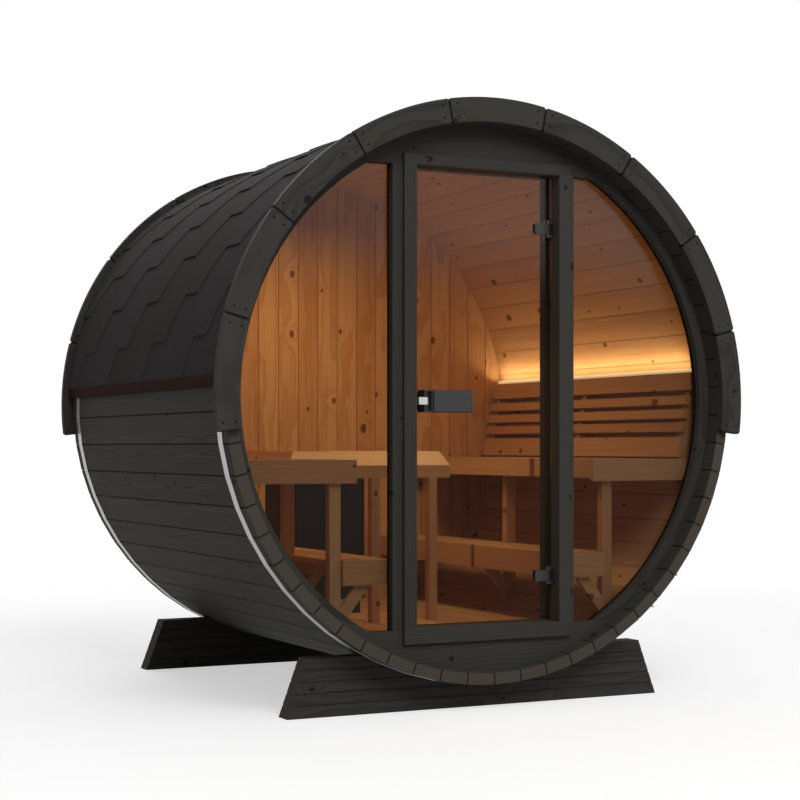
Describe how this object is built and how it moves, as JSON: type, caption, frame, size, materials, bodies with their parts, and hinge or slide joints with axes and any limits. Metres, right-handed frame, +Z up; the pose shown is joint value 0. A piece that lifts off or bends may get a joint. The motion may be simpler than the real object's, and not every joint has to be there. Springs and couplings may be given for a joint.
{
  "type": "barrel sauna",
  "caption": "Barrel sauna of black-stained staves on cradles, with a glazed front wall, a hinged glass door, a shingled roof, benches, a backrest and a guarded heater inside",
  "frame": {"origin": "centre of the bounding box's underside, on the ground between the two cradles", "axes": "+X to the right of someone who faces the door from outside, +Y from the door towards the rear wall, +Z up"},
  "size_m": [2.166, 1.886, 2.2128],
  "materials": {
    "dark_wood": "black-stained softwood, matt",
    "natural_wood": "planed knotty softwood, untreated",
    "roofing_underlay": "underlay board and felt under the shingles",
    "roofing_shingles": "mineral-surfaced bitumen shingles",
    "band_steel": "stainless band",
    "window_glass": "clear toughened glass",
    "door_glass": "lightly tinted toughened glass",
    "hinge_metal": "black powder coat",
    "handle_metal": "satin black",
    "latch_steel": "satin steel",
    "light_diffuser": "warm-lit diffuser",
    "heater_metal": "dark heat-proof paint"
  },
  "bodies": {
    "cabin": {"backrest_battens": "natural_wood", "backrest_slats": "natural_wood", "band_front": "band_steel", "band_rear": "band_steel", "bench_frame_left": "natural_wood", "bench_frame_right": "natural_wood", "casing_rails": "dark_wood", "casing_stiles": "dark_wood", "cradle_front": "dark_wood", "cradle_rear": "dark_wood", "door_head_and_threshold": "dark_wood", "door_jambs": "dark_wood", "eave_battens": "natural_wood", "fascia_front": "dark_wood", "fascia_rear": "dark_wood", "floor_bearers": "natural_wood", "floor_boards": "natural_wood", "guard_top_boards": "natural_wood", "heater": "heater_metal", "heater_guard": "natural_wood", "hinge_brackets": "hinge_metal", "light_strip": "light_diffuser", "lower_bench_left": "natural_wood", "lower_bench_right": "natural_wood", "rear_wall": "dark_wood", "roof_shingles": "roofing_shingles", "roof_underlay": "roofing_underlay", "staves_bottom_left": "dark_wood", "staves_bottom_right": "dark_wood", "staves_lower_left": "dark_wood", "staves_lower_right": "dark_wood", "staves_side_left": "dark_wood", "staves_side_right": "dark_wood", "staves_top_left": "dark_wood", "staves_top_right": "dark_wood", "staves_upper_left": "dark_wood", "staves_upper_right": "dark_wood", "upper_bench_left": "natural_wood", "upper_bench_right": "natural_wood", "wall_arch_boards": "dark_wood", "wall_posts": "dark_wood", "wall_rims": "dark_wood", "windows": "window_glass"},
    "door": {"door_glass": "door_glass", "hinge_clamps": "hinge_metal", "door_handle_outside": "handle_metal", "door_handle_inside": "handle_metal", "door_latch": "latch_steel"}
  },
  "joints": [
    {"name": "door_hinge", "type": "hinge", "parent": "cabin", "child": "door", "pos_m": [0.288, -0.81, 1.1195], "axis": [0, 0, 1], "range_deg": [0, 90]}
  ]
}
